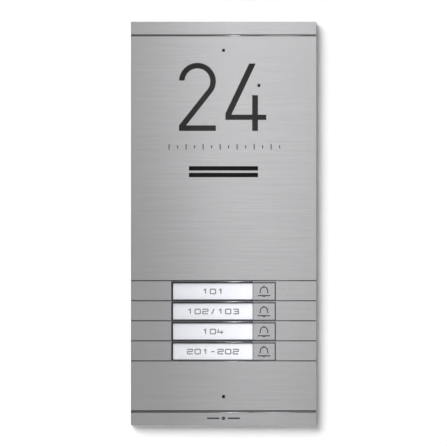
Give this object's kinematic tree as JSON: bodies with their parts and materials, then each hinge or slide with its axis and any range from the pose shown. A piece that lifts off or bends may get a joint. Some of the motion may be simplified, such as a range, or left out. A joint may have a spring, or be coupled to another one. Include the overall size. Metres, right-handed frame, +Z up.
{
  "type": "door intercom panel",
  "caption": "Flush-mounted door intercom panel: brushed steel front with lit house number, speaker slots and call keys with label windows, over a wall box.",
  "frame": {"origin": "centre of the front plate on the wall surface (the plane that the plate's rim meets)", "axes": "+X right as a visitor sees it, +Y into the wall, +Z up; the front face looks along -Y"},
  "size_m": [0.17, 0.053, 0.37],
  "materials": {
    "brushed_steel": "fine horizontal brushing",
    "bezel_metal": "satin, fine brushing",
    "zinc_steel": "bright zinc plated",
    "galvanised_steel": "hot-dip galvanised with a faint spangle",
    "spring_steel": "drawn wire",
    "brass": "turned",
    "black_oxide_steel": "black oxide",
    "black_mesh": "black, woven",
    "foam_rubber": "closed-cell foam",
    "black_rubber": "moulded, satin",
    "smoked_acrylic": "polished",
    "white_plastic": "moulded, fine texture",
    "circuit_board": "solder mask",
    "led_package": "white body, yellow lens",
    "cone_paper": "pressed pulp",
    "ferrite": "sintered, dark grey",
    "black_plastic": "moulded, fine texture",
    "mic_can": "drawn can",
    "opal_plastic": "opal diffuser",
    "clear_plastic": "clear, polished",
    "label_paper": "smooth white film",
    "component_plastic": "moulded",
    "green_plastic": "moulded",
    "blue_plastic": "moulded",
    "red_lead": "soft insulation",
    "grey_lead": "soft insulation",
    "ribbon_cable": "flat ribbon"
  },
  "bodies": {
    "root": {"front_plate": "brushed_steel", "plate_hooks": "zinc_steel", "weld_studs": "zinc_steel", "stud_nuts": "brass", "lock_screws": "black_oxide_steel", "sealing_gasket": "foam_rubber", "number_insert": "smoked_acrylic", "number_light_box": "white_plastic", "number_light_board": "circuit_board", "status_light_pipe": "smoked_acrylic", "light_sensor": "smoked_acrylic", "leds": "led_package", "speaker_mesh": "black_mesh", "speaker_gasket": "foam_rubber", "speaker_basket": "zinc_steel", "speaker_cone": "cone_paper", "speaker_magnet": "ferrite", "speaker_bracket": "black_plastic", "mic_boot": "black_rubber", "mic_capsule": "mic_can", "call_bezel": "bezel_metal", "call_housing": "black_plastic", "call_board": "circuit_board", "tact_switches": "black_plastic", "light_guides": "opal_plastic", "label_lens_1": "clear_plastic", "label_lens_2": "clear_plastic", "label_lens_3": "clear_plastic", "label_lens_4": "clear_plastic", "label_card_1": "label_paper", "label_card_2": "label_paper", "label_card_3": "label_paper", "label_card_4": "label_paper", "key_spring_1": "spring_steel", "key_spring_2": "spring_steel", "key_spring_3": "spring_steel", "key_spring_4": "spring_steel", "main_board": "circuit_board", "board_standoffs": "brass", "board_components": "component_plastic", "terminal_block": "green_plastic", "terminal_screws": "zinc_steel", "trimmer_housings": "blue_plastic", "speaker_lead": "red_lead", "mic_lead": "grey_lead", "call_ribbon": "ribbon_cable", "mounting_frame": "zinc_steel", "frame_screws": "zinc_steel", "flush_box": "galvanised_steel", "cable_grommet": "black_rubber"},
    "key_1": {"key_cap_1": "brushed_steel", "key_stem_1": "black_plastic"},
    "key_2": {"key_cap_2": "brushed_steel", "key_stem_2": "black_plastic"},
    "key_3": {"key_cap_3": "brushed_steel", "key_stem_3": "black_plastic"},
    "key_4": {"key_cap_4": "brushed_steel", "key_stem_4": "black_plastic"},
    "speaker_trimmer": {"speaker_trimmer": "white_plastic"},
    "mic_trimmer": {"mic_trimmer": "white_plastic"}
  },
  "joints": [
    {"name": "key_1_press", "type": "slide", "parent": "root", "child": "key_1", "axis": [0, 1, 0], "range_m": [0, 0.0009], "stiffness_N_per_m": 600, "springref_m": -0.001, "deforming": ["key_spring_1"]},
    {"name": "key_2_press", "type": "slide", "parent": "root", "child": "key_2", "axis": [0, 1, 0], "range_m": [0, 0.0009], "stiffness_N_per_m": 600, "springref_m": -0.001, "deforming": ["key_spring_2"]},
    {"name": "key_3_press", "type": "slide", "parent": "root", "child": "key_3", "axis": [0, 1, 0], "range_m": [0, 0.0009], "stiffness_N_per_m": 600, "springref_m": -0.001, "deforming": ["key_spring_3"]},
    {"name": "key_4_press", "type": "slide", "parent": "root", "child": "key_4", "axis": [0, 1, 0], "range_m": [0, 0.0009], "stiffness_N_per_m": 600, "springref_m": -0.001, "deforming": ["key_spring_4"]},
    {"name": "speaker_trimmer_turn", "type": "hinge", "parent": "root", "child": "speaker_trimmer", "pos_m": [0.022, 0.0298, -0.05], "axis": [0, 1, 0], "range_deg": [-135, 135]},
    {"name": "mic_trimmer_turn", "type": "hinge", "parent": "root", "child": "mic_trimmer", "pos_m": [0.036, 0.0298, -0.05], "axis": [0, 1, 0], "range_deg": [-135, 135]}
  ]
}
